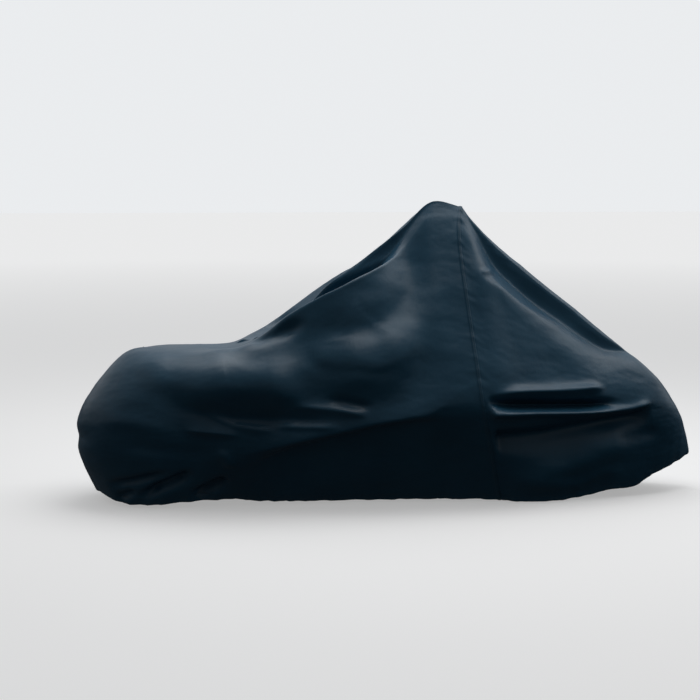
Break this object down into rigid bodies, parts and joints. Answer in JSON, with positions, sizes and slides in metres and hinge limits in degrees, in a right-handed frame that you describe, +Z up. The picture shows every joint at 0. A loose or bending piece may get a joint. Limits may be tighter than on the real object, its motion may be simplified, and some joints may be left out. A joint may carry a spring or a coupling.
{
  "type": "motorcycle cover",
  "caption": "Fitted motorcycle cover of coated navy cloth, hollow and open below, hanging in uneven folds, with one seam over the handlebars.",
  "frame": {"origin": "on the ground, under the middle of the cover's length and width", "axes": "+X to the front of the machine, -Y to its right-hand side, +Z up"},
  "size_m": [2.4983, 0.7701, 1.1802],
  "materials": {
    "rear_cloth": "navy plain-woven polyester, coated, with a satin sheen",
    "front_cloth": "navy plain-woven polyester, coated, with a satin sheen"
  },
  "bodies": {
    "root": {"rear_panel": "rear_cloth", "front_panel": "front_cloth"}
  },
  "joints": []
}
